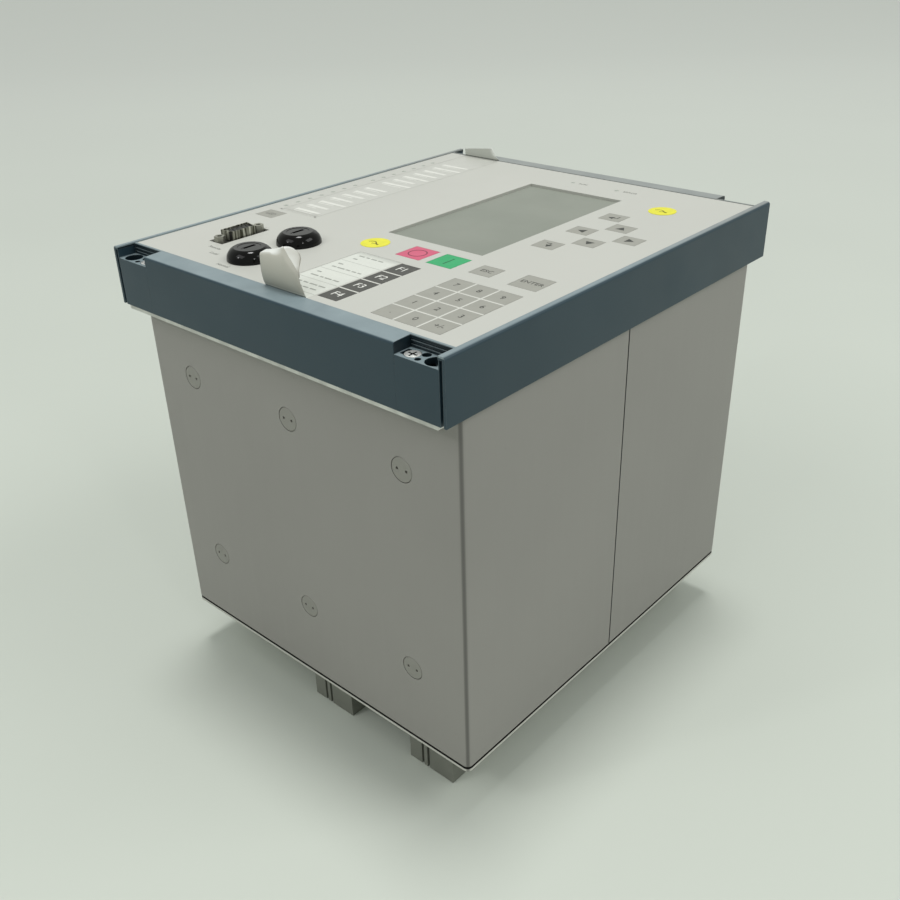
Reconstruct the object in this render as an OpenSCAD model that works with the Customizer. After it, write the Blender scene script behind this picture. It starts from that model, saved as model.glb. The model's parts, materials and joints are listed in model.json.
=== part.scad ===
// Protection relay for flush panel mounting, standing on its rear terminals with its front up.
// +X is right on the front, +Y is towards its upper edge, +Z comes out of the front.
// The origin is on the floor under the middle of the front.

/* [Front] */
// Width of the front over both side cheeks
front_w = 225; // [221:1:240]
// Height of the front over both bars
front_h = 266; // [262:1:290]
// Depth of the front from the panel's face to its rim
front_depth = 32.5; // [29:0.5:45]
// Width of the lower and upper bars, seen from the front
bar_w = 11; // [10.5:0.1:12.5]
// Drop of a bar's face from its inner to its outer edge
bar_drop = 0.5; // [0.3:0.1:2]
// Radius of a bar's outer edge
bar_edge_r = 1.2; // [0.8:0.1:2]
// Wall of the bars and the plate frame
frame_wall = 2.5; // [2:0.1:3]
// Wall of a side cheek
cheek_t = 1.4; // [1:0.1:1.8]
// Width of a cheek's rim, seen from the front
rim_w = 3.5; // [3:0.1:4]
// Thickness of a cheek's rim
rim_t = 1.6; // [1.2:0.1:2]
// How far the rims and bars stand over the front plate
rim_proud = 0.6; // [0.3:0.1:0.9]
// Width of the open joint between a bar's end and a cheek
corner_joint = 1.6; // [1:0.1:2]

/* [Corner pockets] */
// Length of a corner pocket along its bar
pocket_w = 23.5; // [22:0.5:30]
// Depth of a corner pocket under the rim
pocket_depth = 5.8; // [5:0.1:8]
// Diameter of the screw well in a pocket's floor
well_d = 9; // [8:0.1:9.2]
// Diameter of the frame screws
frame_screw_d = 4; // [3:0.5:4]
// Distance of a frame screw from the mounting hole
frame_screw_x = 12.2; // [10.5:0.1:12.5]

/* [Panel mounting] */
// Distance of a mounting hole from the side edge of the front
mount_edge_x = 9.25; // [8.8:0.05:9.6]
// Distance of a mounting hole from the lower or upper edge of the front
mount_edge_y = 5.1; // [4.6:0.05:5.6]
// Diameter of a mounting hole
mount_d = 5; // [4:0.1:5.5]
// Thickness of the mounting angles
flange_t = 2; // [1.5:0.1:3]
// Height of a mounting angle along the housing
flange_leg = 12; // [8:0.5:13]

/* [Housing] */
// Depth of the housing behind the panel's face
housing_depth = 195; // [170:1:240]
// Step from the front's side edge to the housing
housing_step = 2.5; // [2.4:0.1:3.5]
// Thickness of the housing's sheet
sheet_t = 1.5; // [1:0.1:2]
// Outer radius of the housing's bends
bend_r = 3; // [2.2:0.1:5]
// Width of the butt seam in the folded sheet
seam_gap = 0.6; // [0.3:0.1:1]
// Height of the seam over the middle of the right side
seam_y = 1; // [-10:0.5:10]
// Reach of the sheet past the panel's face into the front
wrap_reach = 14; // [13.5:0.5:16]
// Thickness of the rear plate
rear_t = 1.5; // [1.5:0.1:2.5]
// Open joint between the rear plate and the folded sheet
rear_joint = 1.5; // [0.6:0.1:2]
// Depth of the rear plate's inner rim
rear_rim = 8; // [6:0.5:9]

/* [Board slots] */
// Distance between two board slots
slot_pitch = 76; // [70:1:80]
// Place of the middle slot from the middle of the housing
slot_offset = -1; // [-3:0.5:3]
// Thickness of the circuit boards
board_t = 1.6; // [1.2:0.1:2]
// Width of a guide rail
rail_w = 14; // [13:0.5:16]
// Height of a guide rail
rail_h = 8; // [7:0.5:9]
// Depth of the board groove in a guide rail
groove_depth = 5; // [3:0.5:5]
// Diameter of a rail's round plug in the housing wall
plug_d = 12.5; // [11:0.1:12.8]
// Distance of the front plugs behind the panel's face
plug_front = 34.7; // [28:0.1:50]
// Distance between the front and the rear plugs
plug_pitch = 112.5; // [90:0.5:115]

/* [Rear terminals] */
// Length of the terminals behind the rear plate
terminal_depth = 29; // [24:0.5:36]
// Width of a terminal block
terminal_w = 30.5; // [29:0.5:34]
// Terminal blocks in a full column
terminal_rows = 4; // [2:1:5]
// Gap between two terminal blocks
terminal_gap = 2; // [1.6:0.1:4]
// Distance of the outer terminal block from the housing's lower or upper edge
terminal_edge = 10; // [9.8:0.1:14]
// Poles in a terminal block
terminal_poles = 6; // [4:1:6]
// Diameter of a terminal screw's head
terminal_screw_d = 5.6; // [4.5:0.1:6]
// Diameter of the earth stud
earth_d = 4; // [3:0.5:6]
// Length of the earth stud
earth_length = 9; // [6:0.5:14]

/* [Front plate] */
// Thickness of the front plate
plate_t = 3; // [2.6:0.1:3.4]
// Depth from the front plate's rear face to the front board
deck_t = 4; // [3.8:0.1:5]
// Width of the plate frame's ledge under the front plate
ledge_w = 4; // [3:0.1:4.4]
// Width of the display's window
lcd_w = 63.2; // [50:0.2:66]
// Height of the display's window
lcd_h = 120.6; // [90:0.2:124]
// Distance of the display's middle from the front plate's right edge
lcd_edge = 94.8; // [92:0.2:97]
// Depth of the display's glass under the front plate's face
lcd_recess = 1.4; // [0.8:0.1:1.6]
// Thickness of the display's glass
lcd_glass_t = 1.1; // [0.8:0.1:1.2]

/* [Keys] */
// Travel of a key
key_travel = 0.5; // [0.3:0.1:0.6]
// Gap round a key
key_gap = 0.2; // [0.15:0.05:0.25]
// Thickness of a key's cap
key_t = 2.4; // [2:0.1:2.6]
// Width of a number key
number_key_w = 12.3; // [10:0.1:12.6]
// Height of a number or function key
number_key_h = 12.6; // [10:0.1:12.8]
// Distance between two columns of number keys
number_pitch_x = 13.25; // [13.2:0.05:14]
// Distance between two rows of number and function keys
number_pitch_y = 13.55; // [13.4:0.05:14]
// Distance of the first number column from the front plate's right edge
number_edge = 46.4; // [44:0.2:48]
// Place of the lowest key row from the front plate's lower edge
number_y = 11.9; // [11.6:0.1:13]
// Width of a function key
function_key_w = 12; // [10:0.1:13]
// Distance of the function keys from the front plate's right edge
function_edge = 79.9; // [74:0.1:81]
// Width of a cursor key
cursor_key_w = 12.5; // [10:0.1:13]
// Height of a cursor key
cursor_key_h = 11.2; // [9:0.1:12]
// Distance between two columns of cursor keys
cursor_pitch_x = 14.1; // [13.8:0.1:15]
// Step between two neighbouring rows of cursor keys
cursor_pitch_y = 14.5; // [13:0.1:15]
// Distance of the first cursor column from the front plate's right edge
cursor_edge = 48.4; // [46:0.2:50]
// Drop of the lowest cursor key under the display's middle
cursor_drop = 27.8; // [20:0.2:36]
// Width and height of the switching keys and the enter key
command_key = 15.4; // [12:0.1:16]
// Width of the escape key
escape_key_w = 12.2; // [10:0.1:14]
// Height of the escape key
escape_key_h = 11.8; // [10:0.1:14]
// Width of the lamp test key
lamp_key_w = 13.4; // [10:0.1:14]
// Height of the lamp test key
lamp_key_h = 10.8; // [9:0.1:12]

/* [Lamps and labels] */
// Diameter of a lamp
lamp_d = 2.4; // [1.8:0.1:2.6]
// Distance between two lamps of a group
lamp_pitch = 9; // [8:0.1:9.2]
// Lamps in a group
lamp_count = 7; // [4:1:7]
// Distance from the first lamp of one group to the first of the next
lamp_group = 69; // [66:0.5:70]
// Place of the lamp column from the front plate's left edge
lamp_x = 8.5; // [7:0.1:9]
// Height of the lowest lamp over the command row
lamp_up = 17.3; // [14:0.1:19]
// Thickness of the label strips
strip_t = 0.3; // [0.2:0.05:0.5]
// Width of the lamp label strip
lamp_strip_w = 28; // [24:0.5:29]
// Width of the function label strip
function_strip_w = 27; // [22:0.5:28]
// Height of the bent tab on the function label strip
function_tab = 22; // [10:0.5:25]
// Height of the bent tab on the lamp label strip
lamp_tab = 8; // [4:0.5:12]
// Diameter of the round stickers
sticker_d = 15; // [10:0.5:16]
// Thickness of the round stickers
sticker_t = 0.2; // [0.1:0.05:0.3]

/* [Key switches and service port] */
// Diameter of a key switch's domed collar
dome_d = 23; // [20:0.5:26]
// Height of a domed collar over the front plate
dome_h = 6; // [4.8:0.1:6.2]
// Radius of a domed collar's shoulder
shoulder_r = 6; // [6:0.1:7]
// Diameter of a key switch's rotor
rotor_d = 11; // [9:0.1:12]
// Running gap round a rotor
rotor_gap = 0.15; // [0.1:0.05:0.3]
// Length of the key slot in a rotor
key_slot_l = 7.2; // [5:0.1:8]
// Width of the key slot in a rotor
key_slot_w = 2; // [1.4:0.1:2.4]
// Distance of the key switches from the front's middle to its left
switch_offset = 41.3; // [38:0.1:45]
// Place of the lower key switch from the front plate's lower edge
switch_y = 19.8; // [17:0.2:24]
// Distance between the two key switches
switch_pitch = 30.8; // [28:0.2:34]
// Distance between the service port's two jack screws
jack_pitch = 25; // [24.9:0.1:25.1]
// Width across flats of the jack screws
jack_af = 4.8; // [4:0.1:5]
// Height of the port's shell over the front plate
port_proud = 4.2; // [3:0.1:6.5]
// Place of the port from the front plate's left edge
port_x = 32.8; // [30:0.2:38]
// Place of the port from the front plate's lower edge
port_y = 40.3; // [36:0.1:46]

/* [Hidden] */
$fn = 48;
fit = 0.2;
eps = 0.5;

// Levels along Z
rear_z = terminal_depth;
seat_z = rear_z + housing_depth;
front_z = seat_z + front_depth;
face_z = front_z - rim_proud;
deck_z = face_z - plate_t;
board_z = deck_z - deck_t;
wrap_z0 = rear_z + rear_t + rear_joint;
wrap_z1 = seat_z + wrap_reach;
pocket_z = front_z - pocket_depth;

// Outlines on the front
housing_w = front_w - 2 * housing_step;
housing_h = front_h - 2 * bar_w;
inner_h = housing_h - 2 * sheet_t;
inner_w = housing_w - 2 * sheet_t;
side_x = front_w / 2 - cheek_t;
rim_x = front_w / 2 - rim_w;
plate_w = 2 * (rim_x - fit);
plate_h = housing_h - 2 * fit;
plate_left = -plate_w / 2;
plate_low = -plate_h / 2;
frame_inner_x = side_x - frame_wall;
mount_x = front_w / 2 - mount_edge_x;
mount_y = front_h / 2 - mount_edge_y;
pocket_x = rim_x - pocket_w;
screw_x = mount_x - frame_screw_x;

// Frame screws and the floor of a corner pocket
floor_t = 3;
screw_head_d = 7;
screw_head_t = 2.2;
drive_l = 4.9;
drive_w = 1;
drive_depth = 1;
boss_wall = 2;
latch_d = 4;
latch_small_d = 2.8;
latch_web = 0.6;
latch_x = mount_x - well_d / 2 - latch_d / 2 - latch_web;
latch_step = 2.6;
notch_l = 2.4;
notch_h = 5.4;
notch_margin = 0.8;
pocket_wall = 1.1;
groove_h = 0.9;
groove_depth_y = 0.5;
groove_low = 1.2;
joint_depth = 3.5;

// Mounting angles
flange_margin = 2;
flange_inset = 0.4;

// Board slots
slots = [for (i = [-1:1]) slot_offset + i * slot_pitch];
rail_z0 = rear_z + rear_t;
rail_drop = 8;
rail_z1 = seat_z - rail_drop;
rail_y = inner_h / 2;
board_h = 2 * (rail_y - rail_h + groove_depth - fit);
board_z0 = rear_z + rear_t + rear_rim;
board_drop = 10;
board_z1 = seat_z - board_drop;
pin_hole_d = 1.5;
pin_hole_step = 2.8;
pin_hole_depth = 2.5;
plug_root = 1;
plug_chamfer = 0.35;
rear_screw_d = 3;
rear_screw_l = 5;
rear_screw_in = 3.4;
rear_screw_y = rail_y - rear_screw_in;

// Front board's header, the cable and the parts on the plug-in boards
header_w = 8;
header_h = 60;
header_z = 9;
socket_z = 12;
socket_drop = 18;
cable_t = 1;
cable_margin = 4;
cable_x = slots[0] + board_t / 2 + header_w / 2;
coil = [26, 32, 38];
coil_pitch = [44, 62];
coil_z = 14;
relay = [16, 13, 29];
relay_pitch = [28, 45];
relay_z = 16;

// Terminal blocks
column_h = housing_h - 2 * terminal_edge;
block_h = (column_h - (terminal_rows - 1) * terminal_gap) / terminal_rows;
block_lip = 1.5;
narrow_w = 8.5;
slit_w = 1.6;
rib_w = 2.4;
slit_depth = 18;
wide_x = narrow_w + 2 * slit_w + rib_w;
pole_pitch = block_h / terminal_poles;
screw_place = wide_x + 5.9;
wire_place = terminal_w - 3.3;
recess_d = terminal_screw_d + 2 * fit;
recess_depth = 5;
terminal_screw_t = 3;
screw_slot_w = 1;
screw_slot_depth = 1;
wire_w = 3.6;
wire_h = 4.6;
wire_depth = 12;
socket_w = 3;
full_columns = [slots[1], slots[2]];
block_places = concat(
    [for (x = full_columns, k = [0:terminal_rows - 1]) [x, k]],
    [[slots[0], terminal_rows - 1]]);
function block_y(k) = -column_h / 2 + block_h / 2 + k * (block_h + terminal_gap);
function pole_y(k, i) = block_y(k) + (i - (terminal_poles - 1) / 2) * pole_pitch;

// Screws in the rear plate and the earth stud
rear_head_d = 5.4;
rear_head_t = 1.8;
earth_up = 6;
earth_edge = 17.75;
earth_x = -housing_w / 2 + earth_edge;
earth_y = -column_h / 2 + earth_up;
earth_neck = earth_d + 1;

// Layout of the front plate: the gaps between its rows share the free height
lcd_x = plate_w - lcd_edge;
number_x = plate_w - number_edge;
function_x = plate_w - function_edge;
cursor_x = plate_w - cursor_edge;
switch_x = plate_w / 2 - switch_offset;
number_rows = 4;
number_top = number_y + (number_rows - 1) * number_pitch_y + number_key_h / 2;
row_gap = (plate_h - number_top - command_key - lcd_h) / 6;
command_y = number_top + row_gap + command_key / 2;
lcd_y = command_y + command_key / 2 + row_gap + lcd_h / 2;
pilot_y = plate_h - 2 * row_gap;
cursor_y = lcd_y - cursor_drop;
lamp_y = command_y + lamp_up;

// Keys: name, middle from the plate's left and lower edges, width, height, colour
key_grey = [0.66, 0.66, 0.62];
function_grey = [0.27, 0.27, 0.26];
key_red = [0.8, 0.33, 0.45];
key_green = [0.1, 0.62, 0.38];
number_names = [
    ["key_7", "key_8", "key_9"],
    ["key_4", "key_5", "key_6"],
    ["key_1", "key_2", "key_3"],
    ["key_point", "key_0", "key_sign"]];
function number_row(r) = number_y + (number_rows - 1 - r) * number_pitch_y;
number_keys = [for (r = [0:number_rows - 1], c = [0:2]) [
    number_names[r][c], number_x + c * number_pitch_x, number_row(r),
    number_key_w, number_key_h, key_grey]];
function_keys = [for (r = [0:number_rows - 1]) [
    str("function_key_", r + 1), function_x, number_row(r),
    function_key_w, number_key_h, function_grey]];
cursor_places = [
    ["key_menu", 0, 4], ["key_left", 0, 2], ["key_up", 1, 3],
    ["key_back", 0, 0], ["key_down", 1, 1], ["key_right", 2, 2]];
cursor_keys = [for (p = cursor_places) [
    p[0], cursor_x + p[1] * cursor_pitch_x, cursor_y + p[2] * cursor_pitch_y,
    cursor_key_w, cursor_key_h, key_grey]];
command_step = 20.2;
command_x = function_x - 10.8;
escape_x = number_x - 0.8;
enter_x = number_x + 2 * number_pitch_x - 1.2;
lamp_key_x = lamp_x + 6.3;
lamp_key_y = command_y + 1.3;
command_keys = [
    ["open_key", command_x, command_y, command_key, command_key, key_red],
    ["close_key", command_x + command_step, command_y, command_key, command_key, key_green],
    ["escape_key", escape_x, command_y, escape_key_w, escape_key_h, key_grey],
    ["enter_key", enter_x, command_y, command_key, command_key, key_grey],
    ["lamp_test_key", lamp_key_x, lamp_key_y, lamp_key_w, lamp_key_h, key_grey]];
keys = concat(number_keys, function_keys, cursor_keys, command_keys);
key_stem_d = 4;
snap_h = 0.8;
snap_d = 6;
key_rest = 0.15;

// Lamps: two groups in a column and two lamps over the display
pilot_x = [lcd_x - 13, lcd_x + 17.6];
lamps = concat(
    [for (g = [0:1], i = [0:lamp_count - 1]) [lamp_x, lamp_y + g * lamp_group + i * lamp_pitch]],
    [for (x = pilot_x) [x, pilot_y]]);

// Label strips and stickers
lamp_strip_x = lamp_x + 3.3 + lamp_strip_w / 2;
lamp_strip_low = lamp_y - 6;
function_strip_x = function_x - function_key_w / 2 - 1.4 - function_strip_w / 2;
function_strip_high = number_row(0) + number_pitch_y / 2;
tab_crease = 11.6;
tab_fold = 8;
tab_foot = 2.4;
tab_slope = 0.7;
lamp_tab_in = 6.3;
lamp_tab_slope = 0.62;
stickers = [
    [function_strip_x - 18, command_y - 1],
    [cursor_x + cursor_pitch_x, plate_h - 37.4]];

// Key switches and service port
switches = [[switch_x, switch_y], [switch_x, switch_y + switch_pitch]];
collar_step = 3;
collar_foot = 0.4;
neck_d = dome_d - 2 * collar_step;
key_slot_depth = 4.5;
pip_d = 0.9;
port_cut_w = 10.6;
port_cut_end = 2.9;
port_cut_h = jack_pitch + 2 * port_cut_end;
port_seat = 1;
shell_w = 8.2;
shell_long = 16.8;
shell_short = 14.2;
shell_t = 0.5;
insert_drop = 0.7;
pin_d = 1.2;
pin_pitch = 2.74;
pin_row = 2.84;
jack_d = 3;
jack_depth = 4;
jack_wall = 0.2;
jack_drop = 1.5;
jack_proud = port_proud - jack_drop;

// Shared shapes

module rounded_rect(w, h, r) {
    square([w - 2 * r, h], center = true);
    square([w, h - 2 * r], center = true);
    for (x = [-1, 1], y = [-1, 1]) translate([x * (w / 2 - r), y * (h / 2 - r)]) circle(r);
}

module block(x, y, z) {
    translate([x[0], y[0], z[0]]) cube([x[1] - x[0], y[1] - y[0], z[1] - z[0]]);
}

module both_ends() {
    for (s = [0, 1]) mirror([0, s, 0]) children();
}

module both_sides() {
    for (s = [0, 1]) mirror([s, 0, 0]) children();
}

module four_corners() {
    for (sx = [0, 1], sy = [0, 1]) mirror([sx, 0, 0]) mirror([0, sy, 0]) children();
}

// Moves to a place given from the front plate's left and lower edges
module on_plate(p) {
    translate([plate_left + p[0], plate_low + p[1], 0]) children();
}

// Draws a profile of Y and Z along X
module along_x(length) {
    translate([-length / 2, 0, 0]) rotate([90, 0, 90]) linear_extrude(length) children();
}

// Draws a profile of X and Z along Y
module along_y(length) {
    translate([0, length / 2, 0]) rotate([90, 0, 0]) linear_extrude(length) children();
}

// Bars: the lower and upper mouldings of the front, and their four ends with the corner pockets

module bar_section() {
    y0 = -front_h / 2;
    y1 = -housing_h / 2;
    top = front_z - rim_proud / 2;
    low = seat_z + flange_t;
    slope = atan2(bar_drop, bar_w);
    edge_z = top - bar_drop;
    round_z = edge_z + bar_edge_r * (tan(slope) - 1 / cos(slope));
    round_y = bar_edge_r * (1 - sin(slope));
    difference() {
        polygon([
            [y0, low], [y0, edge_z], [y1, top], [y1, wrap_z1],
            [y1 - frame_wall, wrap_z1], [y1 - frame_wall, low]]);
        translate([y0 - eps, round_z]) square([round_y + eps, front_depth]);
    }
    translate([y0 + bar_edge_r, round_z]) circle(bar_edge_r);
}

module bar_hollow(x, top) {
    block(x, [-front_h / 2 + frame_wall, -housing_h / 2 - frame_wall], [seat_z, top]);
}

module screw_boss() {
    low = seat_z + flange_t;
    translate([screw_x, -mount_y, low]) {
        cylinder(d = frame_screw_d + 2 * boss_wall, h = pocket_z - floor_t / 2 - low);
    }
}

module pocket_cut() {
    wall_y = -housing_h / 2 - pocket_wall;
    x = [pocket_x - eps, rim_x + fit];
    block(x, [-front_h / 2 - eps, wall_y], [pocket_z, front_z + eps]);
    for (i = [0, 1]) {
        z = pocket_z + groove_low + i * 2 * groove_h;
        block(x, [wall_y - eps, wall_y + groove_depth_y], [z, z + groove_h]);
    }
}

module floor_holes() {
    z = pocket_z - floor_t - eps;
    long = floor_t + 2 * eps;
    translate([mount_x, -mount_y, z]) cylinder(d = well_d, h = long);
    translate([latch_x, -mount_y + latch_step, z]) cylinder(d = latch_d, h = long);
    translate([latch_x, -mount_y - latch_step, z]) cylinder(d = latch_small_d, h = long);
    translate([pocket_x + notch_margin, -mount_y - notch_h / 2, z]) cube([notch_l, notch_h, long]);
    translate([screw_x, -mount_y, seat_z]) cylinder(d = frame_screw_d + 2 * fit, h = front_depth);
    translate([screw_x, -mount_y, pocket_z - screw_head_t]) {
        cylinder(d = screw_head_d + 2 * fit, h = screw_head_t + eps);
    }
}

module corner_joint_cut() {
    x0 = side_x - corner_joint;
    block([x0, side_x + eps], [-front_h / 2 - eps, -front_h / 2 + joint_depth], [seat_z, front_z + eps]);
}

module cheek_seat() {
    block([rim_x - fit, side_x + eps], [-front_h, front_h], [front_z - rim_t, front_z + eps]);
}

module frame_bars() {
    end_x = pocket_x - frame_wall;
    color([0.27, 0.33, 0.36]) both_ends() difference() {
        along_x(2 * pocket_x) bar_section();
        bar_hollow([-end_x, end_x], face_z - bar_drop - frame_wall);
    }
}

module bar_ends() {
    color([0.27, 0.33, 0.36]) four_corners() difference() {
        union() {
            difference() {
                translate([(pocket_x + side_x) / 2, 0, 0]) along_x(side_x - pocket_x) bar_section();
                bar_hollow([pocket_x - eps, frame_inner_x], pocket_z - floor_t);
            }
            screw_boss();
        }
        pocket_cut();
        floor_holes();
        corner_joint_cut();
        cheek_seat();
    }
}

// Plate frame: side walls and a ledge for the front plate, held between the bars

module plate_frame() {
    ledge_x = rim_x - ledge_w;
    ledge_y = housing_h / 2 - ledge_w;
    color([0.27, 0.33, 0.36]) difference() {
        block([-side_x, side_x], [-housing_h / 2, housing_h / 2], [wrap_z1, front_z - rim_t]);
        block([-frame_inner_x, frame_inner_x], [-housing_h, housing_h], [wrap_z1 - eps, board_z]);
        block([-rim_x, rim_x], [-housing_h, housing_h], [deck_z, front_z + eps]);
        block([-ledge_x, ledge_x], [-ledge_y, ledge_y], [board_z - eps, front_z + eps]);
    }
}

// Side cheek: a thin wall with a rim turned over the frame

module cheek() {
    x1 = front_w / 2;
    low = seat_z + flange_t;
    color([0.27, 0.33, 0.36]) along_y(front_h) difference() {
        union() {
            translate([side_x, low]) square([cheek_t, front_z - low]);
            translate([rim_x, front_z - rim_t]) square([rim_w, rim_t]);
        }
        translate([x1 - rim_t, front_z - rim_t]) difference() {
            square(rim_t + eps);
            circle(rim_t);
        }
    }
}

module left_cheek() {
    mirror([1, 0, 0]) cheek();
}

module right_cheek() {
    cheek();
}

// Mounting angles: one leg lies on the housing, the other carries the panel screws

module mounting_angles() {
    y0 = -housing_h / 2;
    half = side_x - corner_joint - flange_margin;
    color([0.72, 0.73, 0.72]) both_ends() difference() {
        union() {
            block([-half, half], [-front_h / 2 + flange_inset, y0], [seat_z, seat_z + flange_t]);
            block([-half, half], [y0 - flange_t, y0], [seat_z, seat_z + flange_leg]);
        }
        both_sides() {
            translate([mount_x, -mount_y, seat_z - eps]) cylinder(d = mount_d, h = flange_t + 2 * eps);
            translate([screw_x, -mount_y, seat_z - eps]) {
                cylinder(d = frame_screw_d + fit, h = flange_t + 2 * eps);
            }
        }
    }
}

module frame_screws() {
    color("silver") four_corners() translate([screw_x, -mount_y, 0]) difference() {
        union() {
            translate([0, 0, pocket_z - screw_head_t]) cylinder(d = screw_head_d, h = screw_head_t);
            translate([0, 0, seat_z + fit]) {
                cylinder(d = frame_screw_d, h = pocket_z - screw_head_t / 2 - seat_z - fit);
            }
        }
        for (a = [0, 90]) translate([0, 0, pocket_z]) rotate([0, 0, a]) {
            cube([drive_l, drive_w, 2 * drive_depth], center = true);
        }
    }
}

// Front plate with its window, key openings, lamp holes and label pockets

module front_plate() {
    low = deck_z - eps;
    long = plate_t + 2 * eps;
    color([0.82, 0.82, 0.78]) difference() {
        translate([-plate_w / 2, -plate_h / 2, deck_z]) cube([plate_w, plate_h, plate_t]);
        on_plate([lcd_x, lcd_y]) translate([0, 0, deck_z + plate_t / 2]) {
            cube([lcd_w, lcd_h, long], center = true);
        }
        for (k = keys) on_plate([k[1], k[2]]) translate([0, 0, deck_z + plate_t / 2]) {
            cube([k[3] + 2 * key_gap, k[4] + 2 * key_gap, long], center = true);
        }
        for (p = lamps) on_plate(p) translate([0, 0, low]) cylinder(d = lamp_d + fit, h = long);
        for (p = switches) on_plate(p) translate([0, 0, low]) cylinder(d = neck_d + fit, h = long);
        on_plate([port_x, port_y]) translate([0, 0, deck_z + plate_t / 2]) {
            cube([port_cut_w, port_cut_h, long], center = true);
        }
        on_plate([lamp_strip_x, 0]) {
            block([-lamp_strip_w / 2 - fit, lamp_strip_w / 2 + fit], [lamp_strip_low - fit, plate_h + eps],
                [face_z - strip_t, face_z + eps]);
        }
        on_plate([function_strip_x, 0]) {
            block([-function_strip_w / 2 - fit, function_strip_w / 2 + fit],
                [-eps, function_strip_high + fit], [face_z - strip_t, face_z + eps]);
        }
    }
}

module lcd_glass() {
    color([0.58, 0.6, 0.56]) on_plate([lcd_x, lcd_y]) {
        translate([0, 0, face_z - lcd_recess - lcd_glass_t / 2]) {
            cube([lcd_w - fit, lcd_h - fit, lcd_glass_t], center = true);
        }
    }
}

module lcd_module() {
    top = face_z - lcd_recess - lcd_glass_t;
    low = board_z;
    border = 4;
    color([0.3, 0.32, 0.3]) on_plate([lcd_x, lcd_y]) {
        block([-lcd_w / 2 + fit, lcd_w / 2 - fit], [-lcd_h / 2 + fit, lcd_h / 2 - fit], [deck_z - fit, top]);
        block([-lcd_w / 2 - border, lcd_w / 2 + border], [-lcd_h / 2 - border, lcd_h / 2 + border],
            [low, deck_z - fit]);
    }
}

// Front board with a snap dome under every key and a header for the ribbon cable

module front_board() {
    half_w = frame_inner_x - fit;
    half_h = housing_h / 2 - fit;
    color([0.1, 0.35, 0.2]) {
        block([-half_w, half_w], [-half_h, half_h], [board_z - board_t, board_z]);
        block([cable_x - header_w / 2, cable_x + header_w / 2], [-header_h / 2, header_h / 2],
            [board_z - board_t - header_z, board_z - board_t]);
        for (k = keys) on_plate([k[1], k[2]]) translate([0, 0, board_z]) cylinder(d = snap_d, h = snap_h);
    }
}

module status_lamps() {
    color([0.35, 0.36, 0.33]) for (p = lamps) on_plate(p) {
        translate([0, 0, board_z]) cylinder(d = lamp_d, h = face_z - board_z);
    }
}

// Label strips: film in a shallow pocket of the plate, with its end bent up

module lamp_label_strip() {
    half = lamp_strip_w / 2;
    color([0.9, 0.9, 0.86]) on_plate([lamp_strip_x, 0]) {
        block([-half, half], [lamp_strip_low, plate_h - strip_t], [face_z - strip_t, face_z]);
        translate([0, plate_h, face_z - strip_t]) rotate([90, 0, 0]) linear_extrude(strip_t) {
            polygon([
                [-half, 0], [half, 0], [half - lamp_tab_in, lamp_tab], [-half, lamp_tab * lamp_tab_slope]]);
        }
    }
}

module function_label_strip() {
    half = function_strip_w / 2;
    crease = half - tab_crease;
    color([0.9, 0.9, 0.86]) on_plate([function_strip_x, 0]) {
        block([-half, half], [strip_t, function_strip_high], [face_z - strip_t, face_z]);
        translate([0, strip_t, face_z - strip_t]) rotate([90, 0, 0]) linear_extrude(strip_t) {
            polygon([[-half, 0], [half, 0], [crease, function_tab], [-half, function_tab * tab_slope]]);
        }
        translate([half, 0, face_z - strip_t]) {
            rotate([0, -atan2(tab_crease, function_tab), 0]) rotate([90, 0, 90]) {
                linear_extrude(strip_t, center = true) polygon([
                    [0, 0], [tab_foot, 0], [tab_fold, function_tab * tab_slope],
                    [tab_fold - tab_foot, function_tab], [0, norm([tab_crease, function_tab])]]);
            }
        }
    }
}

module round_stickers() {
    color([0.9, 0.88, 0.2]) for (p = stickers) on_plate(p) {
        translate([0, 0, face_z]) cylinder(d = sticker_d, h = sticker_t);
    }
}

// Service port: a nine-pole socket with its shell standing proud, between two jack screws

module shell_outline(inset) {
    a = shell_long / 2 - inset;
    b = shell_short / 2 - inset;
    w = shell_w / 2 - inset;
    polygon([[-w, -a], [w, -b], [w, b], [-w, a]]);
}

module pin_hole() {
    cylinder(d = pin_d, h = port_proud + eps);
}

module service_port() {
    half_w = port_cut_w / 2 - fit;
    half_h = port_cut_h / 2 - fit;
    color([0.45, 0.45, 0.43]) on_plate([port_x, port_y]) difference() {
        union() {
            block([-half_w, half_w], [-half_h, half_h], [board_z, face_z - port_seat]);
            translate([0, 0, face_z - port_seat]) linear_extrude(port_proud + port_seat) shell_outline(0);
        }
        translate([0, 0, face_z + port_proud - insert_drop]) {
            linear_extrude(insert_drop + eps) shell_outline(shell_t);
        }
        for (i = [0:4]) translate([-pin_row / 2, (i - 2) * pin_pitch, face_z]) pin_hole();
        for (i = [0:3]) translate([pin_row / 2, (i - 1.5) * pin_pitch, face_z]) pin_hole();
        for (s = [-1, 1]) translate([0, s * jack_pitch / 2, face_z - jack_depth]) {
            cylinder(d = jack_d + fit, h = 2 * jack_depth);
        }
    }
}

module jack_screws() {
    color("silver") on_plate([port_x, port_y]) for (s = [-1, 1]) translate([0, s * jack_pitch / 2, 0]) {
        difference() {
            union() {
                translate([0, 0, face_z - port_seat]) {
                    cylinder(d = jack_af / cos(30), h = jack_proud + port_seat, $fn = 6);
                }
                translate([0, 0, face_z - jack_depth + fit]) cylinder(d = jack_d, h = jack_depth);
            }
            translate([0, 0, face_z]) cylinder(d = jack_d - 2 * jack_wall, h = jack_proud + eps);
        }
    }
}

// Key switches: a domed collar on the front plate round a turning lock barrel

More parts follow.
